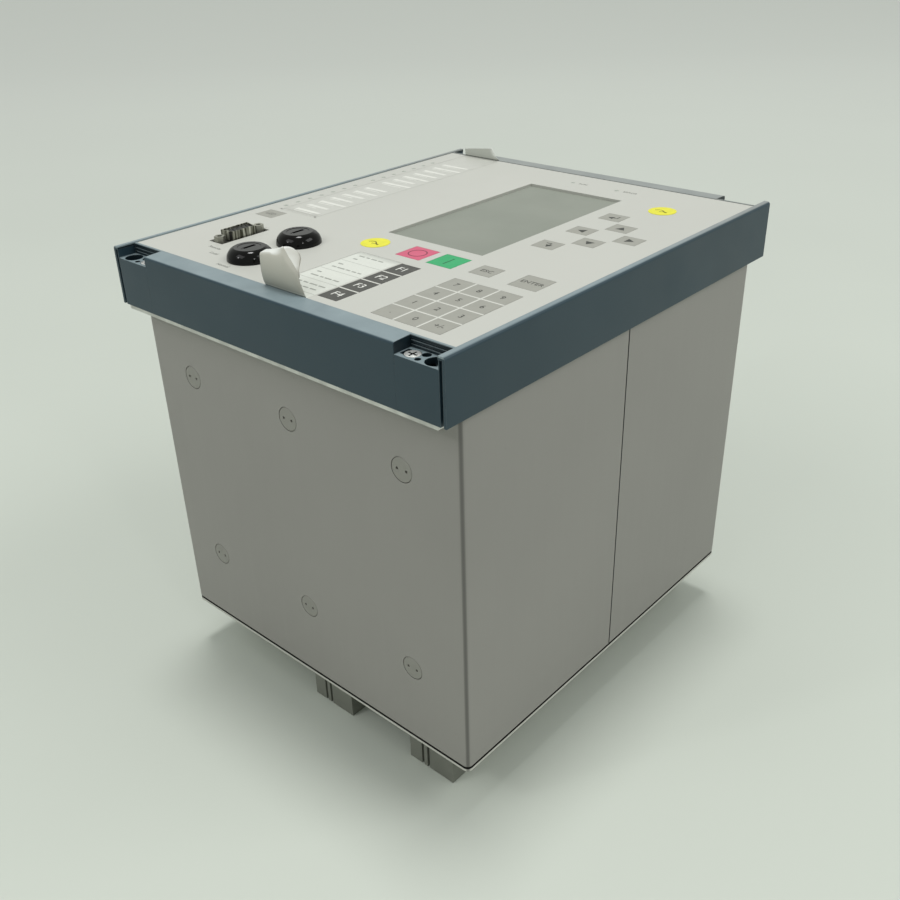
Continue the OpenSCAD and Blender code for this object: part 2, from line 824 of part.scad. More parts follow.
module switch_collars() {
    bore = rotor_d + 2 * rotor_gap;
    neck_h = face_z - board_z;
    r = dome_d / 2;
    color([0.03, 0.03, 0.03]) for (p = switches) on_plate(p) translate([0, 0, board_z]) difference() {
        union() {
            translate([0, 0, neck_h]) rotate_extrude() intersection() {
                square([r, dome_h]);
                union() {
                    square([r - shoulder_r, dome_h]);
                    square([r, collar_foot]);
                    translate([r - shoulder_r, collar_foot]) circle(shoulder_r);
                }
            }
            cylinder(d = neck_d, h = neck_h + eps);
        }
        translate([0, 0, -eps]) cylinder(d = bore, h = neck_h + dome_h + 2 * eps);
    }
}

module switch_rotor(p) {
    high = face_z + dome_h - board_z - 2 * rotor_gap;
    color([0.05, 0.05, 0.05]) on_plate(p) translate([0, 0, board_z + rotor_gap]) difference() {
        cylinder(d = rotor_d, h = high);
        translate([0, 0, high]) cube([key_slot_w, key_slot_l, 2 * key_slot_depth], center = true);
        translate([0, -key_slot_l / 2 - pip_d, high - pip_d]) cylinder(d = pip_d, h = 2 * pip_d);
    }
}

module lower_switch_rotor() {
    switch_rotor(switches[0]);
}

module upper_switch_rotor() {
    switch_rotor(switches[1]);
}

// Key: a flat cap flush with the plate on a stem over its snap dome

module key(k) {
    stem_z = board_z + snap_h + key_travel + key_rest;
    color(k[5]) on_plate([k[1], k[2]]) {
        translate([0, 0, face_z - key_t / 2]) cube([k[3], k[4], key_t], center = true);
        translate([0, 0, stem_z]) cylinder(d = key_stem_d, h = face_z - key_t - stem_z);
    }
}

// Housing: one folded sheet with its butt seam in the right side

module plug_places() {
    for (x = slots, i = [0, 1]) {
        translate([x, -housing_h / 2, seat_z - plug_front - i * plug_pitch]) rotate([-90, 0, 0]) children();
    }
}

module housing_wrap() {
    color([0.55, 0.54, 0.51]) difference() {
        translate([0, 0, wrap_z0]) linear_extrude(wrap_z1 - wrap_z0) difference() {
            rounded_rect(housing_w, housing_h, bend_r);
            rounded_rect(inner_w, inner_h, bend_r - sheet_t);
            translate([housing_w / 2 - sheet_t - eps, seam_y - seam_gap / 2]) {
                square([sheet_t + 2 * eps, seam_gap]);
            }
        }
        both_ends() plug_places() translate([0, 0, -eps]) {
            cylinder(d = plug_d + 2 * fit, h = sheet_t + 2 * eps);
        }
    }
}

module rail_space(grow) {
    half = rail_w / 2 + grow;
    for (x = slots) {
        block([x - half, x + half], [-rail_y - eps, -rail_y + rail_h + grow], [rail_z0 - eps, rail_z1 + eps]);
    }
}

module rear_plate() {
    rim_w1 = inner_w - 2 * fit;
    rim_h1 = inner_h - 2 * fit;
    color([0.66, 0.66, 0.63]) difference() {
        translate([0, 0, rear_z]) {
            linear_extrude(rear_t) rounded_rect(housing_w, housing_h, bend_r);
            linear_extrude(rear_t + rear_rim) difference() {
                rounded_rect(rim_w1, rim_h1, bend_r - sheet_t);
                rounded_rect(rim_w1 - 2 * sheet_t, rim_h1 - 2 * sheet_t, bend_r - sheet_t);
            }
        }
        both_ends() intersection() {
            rail_space(fit);
            block([-front_w, front_w], [-front_h, front_h], [rear_z + rear_t, seat_z]);
        }
        for (b = block_places) translate([b[0], block_y(b[1]), rear_z]) {
            cube([terminal_w + 2 * fit, block_h + 2 * fit, 3 * rear_t], center = true);
        }
        both_ends() for (x = slots) translate([x, -rear_screw_y, rear_z - eps]) {
            cylinder(d = rear_screw_d + 2 * fit, h = rear_t + 2 * eps);
        }
        translate([earth_x, earth_y, rear_z - eps]) cylinder(d = earth_neck + fit, h = rear_t + 2 * eps);
    }
}

module guide_rails() {
    long = rail_z1 - rail_z0;
    color([0.58, 0.57, 0.54]) both_ends() {
        difference() {
            union() {
                for (x = slots) translate([x - rail_w / 2, -rail_y, rail_z0]) cube([rail_w, rail_h, long]);
                plug_places() {
                    cylinder(d1 = plug_d - 2 * plug_chamfer, d2 = plug_d, h = plug_chamfer);
                    translate([0, 0, plug_chamfer]) {
                        cylinder(d = plug_d, h = sheet_t + plug_root - plug_chamfer);
                    }
                }
            }
            for (x = slots) {
                translate([x - board_t / 2 - fit, -rail_y + rail_h - groove_depth, board_z0 - eps]) {
                    cube([board_t + 2 * fit, groove_depth + eps, long]);
                }
                translate([x, -rear_screw_y, rail_z0 - eps]) {
                    cylinder(d = rear_screw_d + fit / 2, h = rear_screw_l + 2 * eps);
                }
            }
            plug_places() for (s = [-1, 1]) translate([s * pin_hole_step, 0, -eps]) {
                cylinder(d = pin_hole_d, h = pin_hole_depth + eps);
            }
        }
    }
}

// Plug-in boards, their coils and relays, and the cable to the front board

module slot_board(i) {
    x = slots[i];
    block([x - board_t / 2, x + board_t / 2], [-board_h / 2, board_h / 2], [board_z0, board_z1]);
}

module processor_board() {
    x = slots[0] + board_t / 2;
    color([0.12, 0.38, 0.24]) {
        slot_board(0);
        block([x, x + header_w], [-header_h / 2, header_h / 2],
            [board_z1 - socket_drop - socket_z, board_z1 - socket_drop]);
    }
}

module contact_board() {
    color([0.12, 0.38, 0.24]) slot_board(1);
}

module transformer_board() {
    color([0.12, 0.38, 0.24]) slot_board(2);
}

module input_transformers() {
    x = slots[2] - board_t / 2 - coil[0];
    color([0.75, 0.6, 0.25]) for (i = [0:3], k = [0, 1]) {
        y = (i - 1.5) * coil_pitch[0] - coil[1] / 2;
        translate([x, y, board_z0 + coil_z + k * coil_pitch[1]]) cube(coil);
    }
}

module output_relays() {
    x = slots[1] - board_t / 2 - relay[0];
    color([0.2, 0.3, 0.6]) for (i = [0:5], k = [0, 1]) {
        y = (i - 2.5) * relay_pitch[0] - relay[1] / 2;
        translate([x, y, board_z0 + relay_z + k * relay_pitch[1]]) cube(relay);
    }
}

module ribbon_cable() {
    half = header_h / 2 - cable_margin;
    color([0.6, 0.6, 0.62]) {
        block([cable_x - cable_t / 2, cable_x + cable_t / 2], [-half, half],
            [board_z1 - socket_drop, board_z - board_t - header_z]);
    }
}

// Rear terminals

module block_section() {
    lip_z = rear_z + rear_t;
    difference() {
        union() {
            square([terminal_w, board_z0]);
            translate([-block_lip, lip_z]) square([terminal_w + 2 * block_lip, board_z0 - lip_z]);
        }
        for (x = [narrow_w, narrow_w + slit_w + rib_w]) {
            translate([x, -eps]) square([slit_w, slit_depth + eps]);
        }
    }
}

module terminal_blocks() {
    color([0.36, 0.36, 0.34]) for (b = block_places) translate([b[0] - terminal_w / 2, 0, 0]) difference() {
        translate([0, block_y(b[1]), 0]) along_y(block_h) block_section();
        for (i = [0:terminal_poles - 1]) translate([0, pole_y(b[1], i), 0]) {
            translate([screw_place, 0, -eps]) cylinder(d = recess_d, h = recess_depth + eps);
            translate([wire_place, 0, 0]) cube([wire_w, wire_h, 2 * wire_depth], center = true);
            translate([narrow_w / 2, 0, 0]) cube([socket_w, wire_h, 2 * wire_depth], center = true);
        }
    }
}

module terminal_screws() {
    color("silver") for (b = block_places, i = [0:terminal_poles - 1]) {
        translate([b[0] - terminal_w / 2 + screw_place, pole_y(b[1], i), recess_depth - terminal_screw_t]) {
            difference() {
                cylinder(d = terminal_screw_d, h = terminal_screw_t);
                cube([terminal_screw_d + eps, screw_slot_w, 2 * screw_slot_depth], center = true);
            }
        }
    }
}

module rear_screws() {
    color("silver") both_ends() for (x = slots) translate([x, -rear_screw_y, rear_z]) difference() {
        union() {
            translate([0, 0, -rear_head_t]) cylinder(d = rear_head_d, h = rear_head_t);
            cylinder(d = rear_screw_d, h = rear_t + rear_screw_l);
        }
        translate([0, 0, -rear_head_t]) cube([rear_head_d + eps, screw_slot_w, rear_head_t], center = true);
    }
}

module earth_stud() {
    color("silver") translate([earth_x, earth_y, rear_z]) {
        translate([0, 0, -earth_length]) cylinder(d = earth_d, h = earth_length);
        cylinder(d = earth_neck, h = rear_t);
        translate([0, 0, rear_t]) cylinder(d = 2 * earth_d, h = rear_t);
    }
}

frame_bars();
bar_ends();
plate_frame();
left_cheek();
right_cheek();
mounting_angles();
frame_screws();
front_plate();
lcd_glass();
lcd_module();
front_board();
status_lamps();
lamp_label_strip();
function_label_strip();
round_stickers();
service_port();
jack_screws();
switch_collars();
lower_switch_rotor();
upper_switch_rotor();
housing_wrap();
rear_plate();
guide_rails();
processor_board();
contact_board();
transformer_board();
input_transformers();
output_relays();
ribbon_cable();
terminal_blocks();
terminal_screws();
rear_screws();
earth_stud();
for (k = keys) key(k);
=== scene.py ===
import json
import math
import random

import bmesh
import bpy
from mathutils import Matrix, Vector

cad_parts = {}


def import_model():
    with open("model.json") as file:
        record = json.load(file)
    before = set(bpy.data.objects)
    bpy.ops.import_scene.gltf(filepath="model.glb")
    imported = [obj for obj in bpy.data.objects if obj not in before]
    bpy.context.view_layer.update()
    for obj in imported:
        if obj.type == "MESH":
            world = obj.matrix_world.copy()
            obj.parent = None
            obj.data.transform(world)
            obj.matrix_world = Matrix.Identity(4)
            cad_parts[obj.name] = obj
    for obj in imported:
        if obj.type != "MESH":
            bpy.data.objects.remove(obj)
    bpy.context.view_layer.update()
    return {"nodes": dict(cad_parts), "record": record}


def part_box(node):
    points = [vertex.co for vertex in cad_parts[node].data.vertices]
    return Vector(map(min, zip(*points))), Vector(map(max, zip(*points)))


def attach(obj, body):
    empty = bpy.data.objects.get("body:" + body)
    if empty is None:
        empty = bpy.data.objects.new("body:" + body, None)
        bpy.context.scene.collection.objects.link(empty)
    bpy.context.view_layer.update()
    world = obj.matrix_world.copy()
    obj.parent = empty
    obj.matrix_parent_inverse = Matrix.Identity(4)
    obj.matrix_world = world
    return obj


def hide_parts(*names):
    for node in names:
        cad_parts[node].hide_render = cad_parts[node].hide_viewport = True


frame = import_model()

# Looks of the protection relay: finishes, print, label films, floor, light and camera.
# Lengths are in millimetres until a point is scaled by MM. The floor and the lamps are in metres.

MM = 0.001
random.seed(12)


def box(node):
    """Lowest and highest corner of a node, in millimetres."""
    return [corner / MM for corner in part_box(node)]


def middle(node):
    """Middle of a node's box, in millimetres."""
    low, high = box(node)
    return (low + high) / 2


# Levels and edges of the CAD nodes, for finishes and print

FACE_Z = box("front_plate")[1].z
PLATE_TOP_Y = box("front_plate")[1].y
FRONT_Z = box("right_cheek")[1].z
SEAM_X = box("frame_bars")[1].x
REAR_SHEET = 1.5
REAR_TOP = box("rear_plate")[0].z + REAR_SHEET
SIDE_SEAM_Y = 1.0
SCREW_R = 3.5
POCKET_X = (SEAM_X - 0.1, box("right_cheek")[0].x + 0.1)
POCKET_Y = (PLATE_TOP_Y - 0.5, box("bar_ends")[1].y - 0.2)


# Colours

def rgb(red, green, blue):
    """Linear colour from screen values of 0 to 255."""
    def linear(value):
        value /= 255
        return value / 12.92 if value <= 0.04045 else ((value + 0.055) / 1.055) ** 2.4
    return tuple(linear(value) for value in (red, green, blue)) + (1.0,)


def shaded(colour, factor):
    """The same colour, lighter or darker."""
    return tuple(min(1.0, channel * factor) for channel in colour[:3]) + (1.0,)


FOIL = rgb(194, 195, 187)
# Painted shade for the joint above the rear plate, the sheet's seam and the screw drives
RECESS_SHADE = rgb(26, 26, 24)
# Dust and painted sheen on the far bar's tops, greyer than on the near bar
DUST_AND_SHEEN_GREY = rgb(166, 170, 166)
# Painted light on the film's bent-up end where it looks up
FILM_PAINTED_LIGHT = rgb(230, 232, 226)
# Painted shadow line at the foot of the bent-up film
FILM_FOOT_SHADOW = rgb(66, 74, 70)
BACKDROP = rgb(192, 196, 189)


# Finishes

NOISE_LOW, NOISE_HIGH = 0.3, 0.7
FLAT_COSINE, EDGE_COSINE = 0.995, 0.86


class Finish:
    """A procedural material, with short ways to add nodes to it."""

    def __init__(self, name, **sockets):
        self.material = bpy.data.materials.new(name)
        self.material.use_nodes = True
        self.tree = self.material.node_tree
        self.shader = self.tree.nodes["Principled BSDF"]
        # A word such as specular_ior_level stands for the socket Specular IOR Level
        for label, value in sockets.items():
            self.shader.inputs[label.replace("_", " ").title().replace("Ior", "IOR")].default_value = value
        self.place = self.node("ShaderNodeTexCoord").outputs["Object"]

    def node(self, kind, inputs=None, **settings):
        """Adds a node; its inputs are values, or the sockets that feed it."""
        made = self.tree.nodes.new(kind)
        for label, value in settings.items():
            setattr(made, label, value)
        for label, value in (inputs or {}).items():
            self.feed(made.inputs[label], value)
        return made

    def feed(self, socket, value):
        """Gives a socket a value, or joins another socket to it."""
        if isinstance(value, bpy.types.NodeSocket):
            self.tree.links.new(value, socket)
        else:
            socket.default_value = value

    def noise(self, size, detail=2.0, stretch=(1, 1, 1)):
        """Noise whose blobs are about size millimetres wide, drawn out along an axis by stretch."""
        scale = tuple(1 / part for part in stretch)
        moved = self.node("ShaderNodeMapping", {"Vector": self.place, "Scale": scale})
        made = self.node("ShaderNodeTexNoise", {
            "Vector": moved.outputs[0], "Scale": 1 / (size * MM), "Detail": detail})
        return made.outputs["Fac"]

    def span(self, value, low, high, start=0.0, end=1.0):
        """Maps low to high onto start to end."""
        return self.node("ShaderNodeMapRange", {
            "Value": value, "From Min": low, "From Max": high, "To Min": start, "To Max": end}).outputs[0]

    def spread(self, noise, start=0.0, end=1.0):
        """Maps the usual range of a noise onto start to end."""
        return self.span(noise, NOISE_LOW, NOISE_HIGH, start, end)

    def rise(self, low, high, start=0.0, end=1.0):
        """Maps two levels along Z, in millimetres, onto start to end."""
        return self.span(self.axis(2), low * MM, high * MM, start, end)

    def calc(self, operation, first, second=0.0):
        """One step of arithmetic."""
        return self.node("ShaderNodeMath", {0: first, 1: second}, operation=operation).outputs[0]

    def mix(self, factor, first, second):
        """Goes from the first colour to the second."""
        made = self.node("ShaderNodeMix", {0: factor, 6: first, 7: second}, data_type="RGBA")
        return made.outputs[2]

    def axis(self, index):
        """One coordinate of the place, in metres."""
        return self.node("ShaderNodeSeparateXYZ", {0: self.place}).outputs[index]

    def between(self, value, low, high):
        """1 where a length lies between two limits in millimetres."""
        return self.node("ShaderNodeMath", {0: value, 1: (low + high) / 2 * MM, 2: (high - low) / 2 * MM},
                         operation="COMPARE").outputs[0]

    def within(self, centre, half):
        """1 inside a flat box round a place on the front, in millimetres."""
        return self.calc("MULTIPLY", *(
            self.between(self.axis(i), centre[i] - half[i], centre[i] + half[i]) for i in (0, 1)))

    def unsigned(self, value):
        """A value without its sign."""
        return self.calc("ABSOLUTE", value)

    def facing(self, index):
        """One coordinate of the face's normal."""
        return self.node("ShaderNodeSeparateXYZ", {
            0: self.node("ShaderNodeNewGeometry").outputs["Normal"]}).outputs[index]

    def edges(self, radius):
        """A mask of the convex and concave edges, and the normal rounded over them."""
        round_normal = self.node("ShaderNodeBevel", {"Radius": radius * MM}, samples=3).outputs[0]
        flat_normal = self.node("ShaderNodeNewGeometry").outputs["Normal"]
        cosine = self.node("ShaderNodeVectorMath", {0: round_normal, 1: flat_normal},
                           operation="DOT_PRODUCT").outputs["Value"]
        return self.span(cosine, FLAT_COSINE, EDGE_COSINE), round_normal

    def bump(self, height, depth, normal=None):
        """Relief of a depth in millimetres, on the face's own normal or on a rounded one."""
        made = self.node("ShaderNodeBump", {"Height": height, "Distance": depth * MM, "Strength": 1.0})
        if normal:
            self.feed(made.inputs["Normal"], normal)
        self.feed(self.shader.inputs["Normal"], made.outputs[0])

    def colour(self, socket):
        self.feed(self.shader.inputs["Base Color"], socket)

    def roughness(self, socket):
        self.feed(self.shader.inputs["Roughness"], socket)


def surface(name, base, rough, patch=45, vary=0.05, grain=0.6, depth=0.012, edge=None, edge_r=0.35,
            edge_share=0.6, streak=None, dust_and_sheen=None, **sockets):
    """A finish with uneven colour and gloss and a fine grain; edge is the colour of the edges, away from the
    seams
    of the front: worn edges with a painted highlight. The dust and sheen colour is that of the faces that
    look out of the front, partly dust and partly a painted sheen that makes them lighter. With it, the
    corner pockets' upright walls get a painted shade."""
    made = Finish(name, **sockets)
    patches = made.noise(patch, 3.0, streak or (1, 1, 1))
    tone = made.mix(made.spread(patches), shaded(base, 1 - vary), shaded(base, 1 + vary))
    fine = made.noise(grain, 1.0)
    normal = None
    if dust_and_sheen:
        cloudy = made.spread(made.noise(14, 4.0), 0.6, 0.75)
        # Painted shade: the upright walls inside the corner pockets are darkened
        pocket = made.calc("MULTIPLY", made.between(made.unsigned(made.axis(0)), *POCKET_X),
                           made.between(made.unsigned(made.axis(1)), *POCKET_Y))
        upright = made.span(made.unsigned(made.facing(2)), 0.6, 0.4)
        tone = made.mix(made.calc("MULTIPLY", pocket, upright), tone, shaded(base, 0.4))
        # Faces that look out of the front, and upright walls just over the face, turn lighter: partly dust,
        # partly painted sheen
        over_face = made.rise(FACE_Z - 0.2, FACE_Z, 0.0, 1.2)
        rim = made.calc("MULTIPLY", over_face, upright)
        up = made.calc("MAXIMUM", made.span(made.facing(2), 0.75, 1.0), rim)
        # Towards the far bar the dust and painted sheen turn greyer
        dust_and_sheen_tone = made.mix(made.span(made.axis(1), 0.0, PLATE_TOP_Y * MM), dust_and_sheen, DUST_AND_SHEEN_GREY)
        tone = made.mix(made.calc("MULTIPLY", up, cloudy), tone, dust_and_sheen_tone)
    # Worn edges with a painted highlight, kept off the seams of the front
    if edge:
        mask, normal = made.edges(edge_r)
        broken = made.span(made.noise(3.0, 3.0), 0.35, 0.65, 0.5 * edge_share, edge_share)
        from_seam = made.unsigned(made.calc("SUBTRACT", made.unsigned(made.axis(0)), SEAM_X * MM))
        clear = made.span(from_seam, 1.2 * edge_r * MM, 1.5 * edge_r * MM)
        tone = made.mix(made.calc("MULTIPLY", made.calc("MULTIPLY", mask, broken), clear), tone, edge)
    made.colour(tone)
    made.roughness(made.spread(made.noise(patch * 0.6, 3.0), rough - 0.05, rough + 0.05))
    made.bump(fine, depth, normal)
    return made


DOT_ROWS = 320


def glass_finish():
    """Grey-green display with fine rows of dots under a satin cover."""
    made = Finish("display_glass", roughness=0.5, ior=1.45, specular_ior_level=0.15)
    soft = made.spread(made.noise(60, 2.0))
    panel = made.mix(soft, rgb(139, 144, 134), rgb(148, 152, 142))
    rows = made.node("ShaderNodeTexWave", {
        "Vector": made.place, "Scale": DOT_ROWS, "Distortion": 0.0}, bands_direction="Y").outputs["Fac"]
    made.colour(made.mix(made.span(rows, 0.0, 1.0, 0.0, 0.06), panel, rgb(118, 124, 112)))
    made.roughness(made.spread(made.noise(25, 3.0), 0.46, 0.56))
    made.bump(made.noise(1.2, 2.0), 0.002)
    return made


INSERT_HALF = (3.55, 7.5)


def port_finish():
    """Tin-plated shell with drawn lines, round a black insert on a dark base."""
    centre = middle("service_port")
    top = box("service_port")[1].z
    made = Finish("port_metal", metallic=1.0, roughness=0.3)
    insert = made.calc("MULTIPLY", made.within(centre, INSERT_HALF), made.rise(top - 0.2, top - 0.3))
    base = made.rise(FACE_Z - 0.5, FACE_Z - 0.7)
    dark = made.calc("MAXIMUM", insert, base)
    drawn = made.noise(2.0, 2.0, (1, 0.7, 12))
    metal = made.mix(made.span(drawn, 0.42, 0.66), rgb(74, 74, 62), rgb(206, 206, 194))
    made.colour(made.mix(dark, metal, rgb(34, 34, 30)))
    made.feed(made.shader.inputs["Metallic"], made.span(dark, 0.0, 1.0, 1.0, 0.0))
    made.roughness(made.span(dark, 0.0, 1.0, 0.5, 0.55))
    made.bump(drawn, 0.03)
    return made


def paint_finish(name, base, vary=0.03, joint_shade_level=None, seam=None):
    """Powder coat: a fine orange peel, soft clouds and a few handling rubs along Z.
    A painted dark reflection lies along the bends. From a given level up the plate is painted black,
    as shade in its joint, and the sheet's seam gets a painted shadow line."""
    made = Finish(name, roughness=0.5)
    clouds = made.spread(made.noise(120, 2.0))
    tone = made.mix(clouds, shaded(base, 1 - vary), shaded(base, 1 + vary))
    rubs = made.noise(5, 4.0, (1, 1, 14))
    tone = made.mix(made.span(rubs, 0.62, 0.8, 0.0, 0.07), tone, shaded(base, 1.25))
    specks = made.span(made.noise(1.6, 2.0), 0.72, 0.8, 0.0, 0.35)
    tone = made.mix(specks, tone, shaded(base, 0.72))
    # Painted dark reflection along the bends of the sheet
    turned = made.unsigned(made.calc("MULTIPLY", made.facing(0), made.facing(1)))
    tone = made.mix(made.span(turned, 0.34, 0.49, 0.0, 0.85), tone, shaded(base, 0.36))
    # Painted shade: the plate's rim above the joint is black
    if joint_shade_level:
        tone = made.mix(made.rise(joint_shade_level - 0.04, joint_shade_level - 0.02), tone, RECESS_SHADE)
    # Painted shadow line along the sheet's seam
    if seam:
        right = made.span(made.axis(0), 0.0, MM)
        line = made.span(made.unsigned(made.calc("SUBTRACT", made.axis(1), seam * MM)), 0.55 * MM, 0.35 * MM)
        tone = made.mix(made.calc("MULTIPLY", right, line), tone, RECESS_SHADE)
    made.colour(tone)
    made.roughness(made.spread(rubs, 0.52, 0.48))
    made.bump(made.noise(0.9, 2.0), 0.012)
    return made


def board_finish():
    """Green circuit board with fine tracks."""
    made = Finish("board", roughness=0.4)
    tracks = made.node("ShaderNodeTexBrick", {
        "Vector": made.place, "Scale": 1 / (9 * MM), "Color1": rgb(26, 84, 52), "Color2": rgb(30, 92, 58),
        "Mortar": rgb(52, 122, 78), "Mortar Size": 0.06})
    made.colour(tracks.outputs["Color"])
    made.roughness(made.spread(made.noise(8), 0.35, 0.5))
    made.bump(tracks.outputs["Fac"], 0.03)
    return made


def metal_finish(name, base, rough, streak=(1, 1, 1), brushed=0.0004, metallic=1.0):
    """Plated steel with fine brushing and duller patches."""
    made = Finish(name, metallic=metallic, roughness=rough)
    brushing = made.noise(0.5, 3.0, streak)
    dull = made.noise(9, 3.0)
    made.colour(made.mix(made.span(dull, 0.35, 0.65), shaded(base, 0.82), shaded(base, 1.06)))
    made.roughness(made.spread(brushing, rough - 0.08, rough + 0.1))
    made.bump(brushing, brushed)
    return made


def screw_finish():
    """Bright screw heads, slightly domed, with painted shade in the drive."""
    high = box("frame_screws")[1]
    made = Finish("bright_screw", metallic=0.35, roughness=0.3)
    # Painted shade in the drive
    drive = made.rise(high.z - 0.1, high.z - 0.2)
    tone = made.mix(made.spread(made.noise(2.0, 3.0)), rgb(204, 206, 202), rgb(238, 239, 236))
    made.colour(made.mix(drive, tone, RECESS_SHADE))
    from_middle = [made.calc("SUBTRACT", made.unsigned(made.axis(i)), (high[i] - SCREW_R) * MM)
                   for i in (0, 1)]
    squared = made.calc("ADD", *(made.calc("MULTIPLY", length, length) for length in from_middle))
    made.roughness(made.spread(made.noise(4, 2.0), 0.25, 0.36))
    made.bump(made.span(squared, 0.0, (SCREW_R * MM) ** 2, 1.0, 0.0), 0.8)
    return made


def label_finish(name, flat, low, high):
    """White film; flat is its colour where it lies in the front's label pocket, low and high those of
    the foot and the top of its bent-up end, a painted shade that darkens that end towards its foot.
    That end has a painted light where it looks up, and a painted shadow line at its foot."""
    made = Finish(name, roughness=0.38)
    fibres = made.spread(made.noise(1.2, 3.0))
    raised = made.rise(FACE_Z + 0.2, FACE_Z + 1.6)
    lying = made.mix(fibres, shaded(flat, 0.97), shaded(flat, 1.03))
    # Painted shade: the bent-up end darkens from its top towards its foot
    standing = made.mix(made.rise(FACE_Z + 1, FACE_Z + 15), low, high)
    # Painted light where the bent-up film looks up
    standing = made.mix(made.span(made.unsigned(made.facing(2)), 0.35, 0.8), standing, FILM_PAINTED_LIGHT)
    # Painted shadow line at the film's foot
    foot_shadow = made.between(made.axis(2), FACE_Z + 0.12, FACE_Z + 0.75)
    tone = made.mix(raised, lying, standing)
    made.colour(made.mix(made.calc("MULTIPLY", foot_shadow, 0.75), tone, FILM_FOOT_SHADOW))
    made.roughness(made.spread(made.noise(6, 3.0), 0.34, 0.46))
    made.bump(made.noise(2.5, 3.0), 0.02)
    return made


KEY_GRAIN = {"patch": 8, "vary": 0.03, "grain": 0.25, "depth": 0.004}
FINISHES = {
    # Edge colour: worn edges with a painted highlight. Dust and sheen colour: dust and a painted sheen on
    # faces looking out of the front.
    "front_plastic": surface("front_plastic", rgb(44, 64, 74), 0.38, patch=60, vary=0.06, grain=0.45,
                             depth=0.01, edge=rgb(140, 154, 158), edge_r=0.45, edge_share=0.45,
                             dust_and_sheen=rgb(152, 168, 172), specular_ior_level=0.35),
    "front_film": surface("front_film", FOIL, 0.5, patch=70, vary=0.012, grain=0.25, depth=0.003),
    "display_glass": glass_finish(),
    "port_metal": port_finish(),
    # A painted shadow line lies along the side seam
    "housing_paint": paint_finish("housing_paint", rgb(151, 149, 144), seam=SIDE_SEAM_Y),
    # From REAR_TOP up the rear plate's rim is painted black: painted shade in its joint
    "rear_paint": paint_finish("rear_paint", rgb(200, 200, 192), joint_shade_level=REAR_TOP),
    "board": board_finish(),
    "bright_steel": metal_finish("bright_steel", rgb(206, 206, 202), 0.36, (12, 1, 1), 0.002),
    "screw_steel": metal_finish("screw_steel", rgb(164, 164, 154), 0.5, brushed=0.0, metallic=0.9),
    # The last two colours are a painted shade from the foot to the top of the bent-up end
    "label_film": label_finish("label_film", rgb(216, 219, 210), rgb(166, 166, 154), rgb(206, 204, 193)),
    "inner_plastic": surface("inner_plastic", rgb(70, 72, 70), 0.5),
    "lamp_lens": surface("lamp_lens", rgb(158, 165, 153), 0.3, patch=2, vary=0.1, depth=0.004),
    "yellow_paper": surface("yellow_paper", rgb(228, 224, 62), 0.6, patch=4, vary=0.05, grain=0.3,
                            depth=0.01),
    "black_gloss": surface("black_gloss", rgb(6, 6, 6), 0.1, patch=6, vary=0.2, grain=4.0, depth=0.0004,
                           specular_ior_level=0.2),
    "rail_plastic": surface("rail_plastic", rgb(144, 143, 136), 0.45, patch=12, vary=0.03),
    "coil_iron": surface("coil_iron", rgb(150, 120, 64), 0.45, patch=5, vary=0.15),
    "cable_grey": surface("cable_grey", rgb(150, 150, 152), 0.5, patch=1.3, vary=0.12, streak=(1, 1, 40)),
    "terminal_plastic": surface("terminal_plastic", rgb(124, 126, 117), 0.5, patch=18, vary=0.06),
    "key_grey": surface("key_grey", rgb(156, 156, 147), 0.5, **KEY_GRAIN),
    "key_dark": surface("key_dark", rgb(70, 70, 66), 0.5, **KEY_GRAIN),
    "key_red": surface("key_red", rgb(206, 88, 118), 0.48, **KEY_GRAIN),
    "key_green": surface("key_green", rgb(28, 164, 100), 0.48, **KEY_GRAIN),
}
BRIGHT_SCREW = screw_finish()
# The last two colours are a painted shade from the foot to the top of the bent-up end
LAMP_FILM = label_finish("lamp_film", FOIL, rgb(192, 196, 187), rgb(222, 224, 217))

INKS = {
    "dark": surface("ink_dark", rgb(52, 54, 50), 0.55, patch=1.2, vary=0.2),
    "soft": surface("ink_soft", rgb(112, 114, 108), 0.55, patch=1.2, vary=0.15),
    "pale": surface("ink_pale", rgb(156, 159, 151), 0.55, patch=1.2, vary=0.1),
    "foil": FINISHES["front_film"],
    "white": surface("ink_white", rgb(230, 231, 224), 0.55, patch=1.2, vary=0.05),
    "label": surface("ink_label", rgb(222, 223, 215), 0.6, patch=4, vary=0.05),
    "line": surface("ink_line", rgb(208, 209, 201), 0.55, patch=6, vary=0.03),
    "wine": surface("ink_wine", rgb(122, 44, 66), 0.55, patch=1.2, vary=0.12),
    "forest": surface("ink_forest", rgb(14, 92, 58), 0.55, patch=1.2, vary=0.12),
    "pen": surface("ink_pen", rgb(126, 122, 40), 0.6, patch=1.0, vary=0.25),
    "grey": surface("ink_grey", rgb(190, 193, 185), 0.6, patch=2, vary=0.06),
}


def dress(piece, material):
    """Gives a piece this material alone."""
    piece.data.materials.clear()
    piece.data.materials.append(material)


for part in frame["record"]["subparts"]:
    dress(frame["nodes"][part["node"]], FINISHES[part["material_slot"]].material)
dress(frame["nodes"]["frame_screws"], BRIGHT_SCREW.material)


# Print: flat shapes of ink that lie on a face

INK_T, INK_GAP, INK_WELD = 0.03, 0.012, 1e-4
CAPITAL = 0.69


